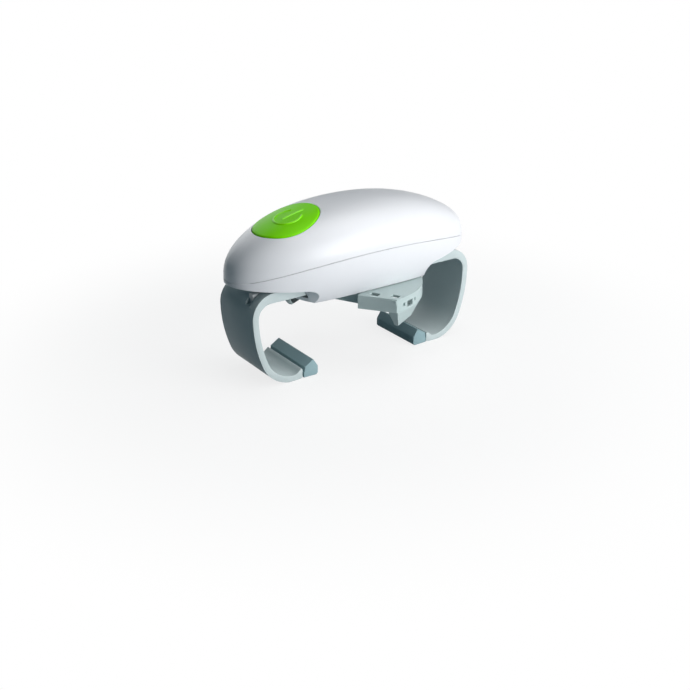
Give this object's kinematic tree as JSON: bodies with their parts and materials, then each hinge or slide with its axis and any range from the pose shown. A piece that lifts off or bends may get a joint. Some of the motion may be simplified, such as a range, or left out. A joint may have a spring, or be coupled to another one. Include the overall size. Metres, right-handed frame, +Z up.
{
  "type": "electric jar opener",
  "caption": "Battery powered jar opener: domed oval body with an oval start button, sliding hooked arms that hold the jar and a turning carriage of lid jaws.",
  "frame": {"origin": "on the axis that the lid turns about, at the level of the table under the arms' feet", "axes": "+X along the body, away from the start button; +Y to the back, where the battery door is; +Z up"},
  "size_m": [0.22, 0.1178, 0.1304],
  "materials": {
    "white_plastic": "glossy moulded white",
    "green_plastic": "satin lime green",
    "arm_plastic": "fine matt grey-green",
    "jaw_plastic": "fine matt light grey",
    "rack_plastic": "satin light grey",
    "gear_plastic": "natural acetal",
    "chassis_plastic": "plain moulded grey",
    "pad_rubber": "matt blue-grey",
    "grip_rubber": "matt dark grey",
    "steel": "bright",
    "spring_steel": "bright",
    "brass": "machined",
    "board": "solder resist",
    "switch_black": "matt black",
    "cell_sleeve": "printed film, left plain"
  },
  "bodies": {
    "housing": {"upper_shell": "white_plastic", "lower_shell": "white_plastic", "button_spring": "spring_steel", "switch_body": "switch_black", "circuit_board": "board", "board_screws": "steel", "battery_cells": "cell_sleeve", "battery_tray": "chassis_plastic", "battery_contacts": "spring_steel", "motor": "steel", "gear_pins": "steel", "ring_gear": "chassis_plastic", "gearbox_base": "chassis_plastic", "gearbox_plate": "chassis_plastic", "gearbox_cover": "chassis_plastic", "gearbox_screws": "steel", "turntable_bush": "brass", "housing_screws": "steel"},
    "button": {"start_button": "green_plastic"},
    "plunger": {"switch_plunger": "switch_black"},
    "door": {"battery_door": "white_plastic"},
    "motor_shaft": {"motor_pinion": "brass"},
    "first_wheel": {"first_gear": "gear_plastic"},
    "second_wheel": {"second_gear": "gear_plastic"},
    "sun": {"sun_gear": "gear_plastic"},
    "carrier": {"planet_carrier": "steel"},
    "planet_1": {"planet_gear_1": "gear_plastic"},
    "planet_2": {"planet_gear_2": "gear_plastic"},
    "planet_3": {"planet_gear_3": "gear_plastic"},
    "arm_gear": {"arm_pinion": "chassis_plastic"},
    "carriage": {"turntable": "jaw_plastic", "retaining_ring": "steel", "jaw_guide": "jaw_plastic", "jaw_guide_cover": "jaw_plastic", "guide_screws": "steel"},
    "jaw_gear": {"jaw_pinion": "gear_plastic"},
    "near_jaw": {"near_lid_jaw": "jaw_plastic", "near_jaw_rack": "rack_plastic", "near_jaw_grip": "grip_rubber"},
    "far_jaw": {"far_lid_jaw": "jaw_plastic", "far_jaw_rack": "rack_plastic", "far_jaw_grip": "grip_rubber"},
    "left_hook": {"left_arm": "arm_plastic", "left_rack": "rack_plastic", "left_pad": "pad_rubber"},
    "right_hook": {"right_arm": "arm_plastic", "right_rack": "rack_plastic", "right_pad": "pad_rubber"}
  },
  "joints": [
    {"name": "carriage_spin", "type": "hinge", "parent": "housing", "child": "carriage", "pos_m": [0, 0, 0.064], "axis": [0, 0, 1], "continuous": true},
    {"name": "near_jaw_slide", "type": "slide", "parent": "carriage", "child": "near_jaw", "axis": [0.4617, -0.887, 0], "range_m": [-0.022, 0.004]},
    {"name": "far_jaw_slide", "type": "slide", "parent": "carriage", "child": "far_jaw", "axis": [-0.4617, 0.887, 0], "range_m": [-0.022, 0.004]},
    {"name": "jaw_gear_turn", "type": "hinge", "parent": "carriage", "child": "jaw_gear", "pos_m": [0, 0, 0.055], "axis": [0, 0, 1], "range_deg": [-34, 181]},
    {"name": "left_arm_slide", "type": "slide", "parent": "housing", "child": "left_hook", "axis": [1, 0, 0], "range_m": [-0.004, 0.022]},
    {"name": "right_arm_slide", "type": "slide", "parent": "housing", "child": "right_hook", "axis": [-1, 0, 0], "range_m": [-0.004, 0.022]},
    {"name": "arm_gear_turn", "type": "hinge", "parent": "housing", "child": "arm_gear", "pos_m": [0, 0, 0.075], "axis": [0, 0, 1], "range_deg": [-24, 127]},
    {"name": "start_press", "type": "slide", "parent": "housing", "child": "button", "axis": [0, 0, -1], "range_m": [0, 0.0018], "stiffness_N_per_m": 600, "springref_m": -0.001, "deforming": ["button_spring"]},
    {"name": "plunger_press", "type": "slide", "parent": "housing", "child": "plunger", "axis": [0, 0, -1], "range_m": [0, 0.0018]},
    {"name": "battery_door_pull", "type": "slide", "parent": "housing", "child": "door", "axis": [0, 1, 0], "range_m": [0, 0.014]},
    {"name": "sun_turn", "type": "hinge", "parent": "housing", "child": "sun", "pos_m": [0, 0, 0.1], "axis": [0, 0, 1], "continuous": true},
    {"name": "second_wheel_turn", "type": "hinge", "parent": "housing", "child": "second_wheel", "pos_m": [-0.017, 0.01199, 0.113], "axis": [0, 0, 1], "continuous": true},
    {"name": "first_wheel_turn", "type": "hinge", "parent": "housing", "child": "first_wheel", "pos_m": [-0.03249, 0.00549, 0.113], "axis": [0, 0, 1], "continuous": true},
    {"name": "motor_turn", "type": "hinge", "parent": "housing", "child": "motor_shaft", "pos_m": [-0.04328, -0.00261, 0.111], "axis": [0, 0, 1], "continuous": true},
    {"name": "carrier_turn", "type": "hinge", "parent": "housing", "child": "carrier", "pos_m": [0, 0, 0.084], "axis": [0, 0, 1], "continuous": true},
    {"name": "planet_1_turn", "type": "hinge", "parent": "carrier", "child": "planet_1", "pos_m": [0, 0.0132, 0.088], "axis": [0, 0, 1], "continuous": true},
    {"name": "planet_2_turn", "type": "hinge", "parent": "carrier", "child": "planet_2", "pos_m": [-0.01143, -0.0066, 0.088], "axis": [0, 0, 1], "continuous": true},
    {"name": "planet_3_turn", "type": "hinge", "parent": "carrier", "child": "planet_3", "pos_m": [0.01143, -0.0066, 0.088], "axis": [0, 0, 1], "continuous": true}
  ],
  "couplings": [
    {"joint": "far_jaw_slide", "follows": "near_jaw_slide", "ratio": 1},
    {"joint": "jaw_gear_turn", "follows": "near_jaw_slide", "rad_per_m": -142.86},
    {"joint": "right_arm_slide", "follows": "left_arm_slide", "ratio": 1},
    {"joint": "arm_gear_turn", "follows": "left_arm_slide", "rad_per_m": 100},
    {"joint": "plunger_press", "follows": "start_press", "ratio": 1},
    {"joint": "carrier_turn", "follows": "carriage_spin", "ratio": 1},
    {"joint": "sun_turn", "follows": "carriage_spin", "ratio": 4},
    {"joint": "second_wheel_turn", "follows": "carriage_spin", "ratio": -13.333},
    {"joint": "first_wheel_turn", "follows": "carriage_spin", "ratio": 40},
    {"joint": "motor_turn", "follows": "carriage_spin", "ratio": -140},
    {"joint": "planet_1_turn", "follows": "carriage_spin", "ratio": -3},
    {"joint": "planet_2_turn", "follows": "carriage_spin", "ratio": -3},
    {"joint": "planet_3_turn", "follows": "carriage_spin", "ratio": -3}
  ]
}
